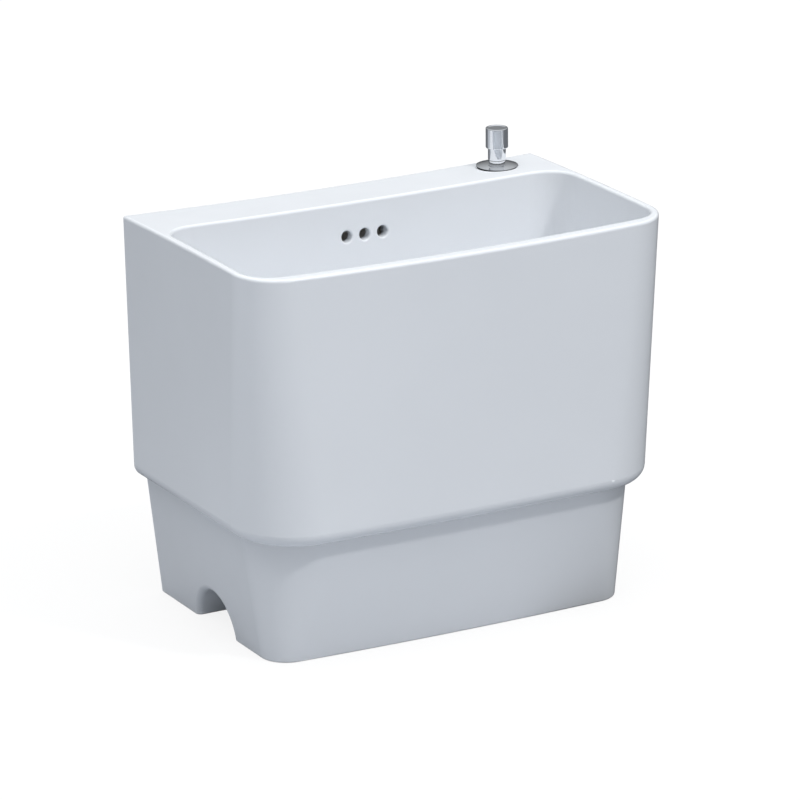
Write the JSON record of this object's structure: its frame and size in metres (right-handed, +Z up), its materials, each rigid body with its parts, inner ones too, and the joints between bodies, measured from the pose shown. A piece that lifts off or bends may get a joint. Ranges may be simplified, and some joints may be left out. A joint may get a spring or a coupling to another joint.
{
  "type": "mop sink",
  "caption": "Deep glazed ceramic mop sink on a ceramic pedestal, with a rear deck, overflow holes, a hose notch and a pop-up waste worked by a lift knob.",
  "frame": {"origin": "on the floor, under the middle of the width and of the depth", "axes": "+X to the right of someone facing the sink, along the width; +Y to the wall behind; +Z up"},
  "size_m": [0.5648, 0.3579, 0.536],
  "materials": {
    "glazed_ceramic": "glossy white vitreous glaze",
    "white_sealant": "smooth satin sealant",
    "polished_chrome": "mirror polished",
    "machined_brass": "turned, slightly dull",
    "bright_steel": "plain bright zinc-coloured steel",
    "black_rubber": "moulded matte rubber",
    "white_plastic": "moulded acetal"
  },
  "bodies": {
    "sink": {"tub": "glazed_ceramic", "pedestal": "glazed_ceramic", "bedding_joint": "white_sealant", "drain_flange": "polished_chrome", "flange_gasket": "black_rubber", "drain_body": "machined_brass", "cone_washer": "black_rubber", "slip_washer": "white_plastic", "drain_locknut": "machined_brass", "tailpiece": "machined_brass", "tail_seal": "black_rubber", "tail_nut": "machined_brass", "ball_seat": "white_plastic", "pivot_nut": "machined_brass", "escutcheon": "polished_chrome", "deck_gasket": "black_rubber", "guide_shank": "machined_brass", "guide_bush": "white_plastic", "deck_washer": "bright_steel", "deck_locknut": "machined_brass"},
    "lift_knob": {"knob_cap": "polished_chrome", "knob_sleeve": "polished_chrome", "lift_rod": "polished_chrome", "clevis_strap": "bright_steel", "clevis_screw": "bright_steel"},
    "pivot_arm": {"pivot_rod": "bright_steel", "pivot_ball": "white_plastic", "spring_clip": "bright_steel"},
    "stopper": {"stopper_cap": "polished_chrome", "stopper_seal": "black_rubber", "stopper_stem": "white_plastic"}
  },
  "joints": [
    {"name": "knob_lift", "type": "slide", "parent": "sink", "child": "lift_knob", "axis": [0, 0, 1], "range_m": [0, 0.042]},
    {"name": "pivot_rock", "type": "hinge", "parent": "sink", "child": "pivot_arm", "pos_m": [0.03024, -0.01382, 0.088], "axis": [0.6546, -0.756, 0], "range_deg": [0, 9.83]},
    {"name": "stopper_drop", "type": "slide", "parent": "sink", "child": "stopper", "axis": [0, 0, -1], "range_m": [0, 0.00688]}
  ],
  "couplings": [
    {"joint": "pivot_rock", "follows": "knob_lift", "rad_per_m": 4.086},
    {"joint": "stopper_drop", "follows": "knob_lift", "ratio": 0.16384}
  ]
}
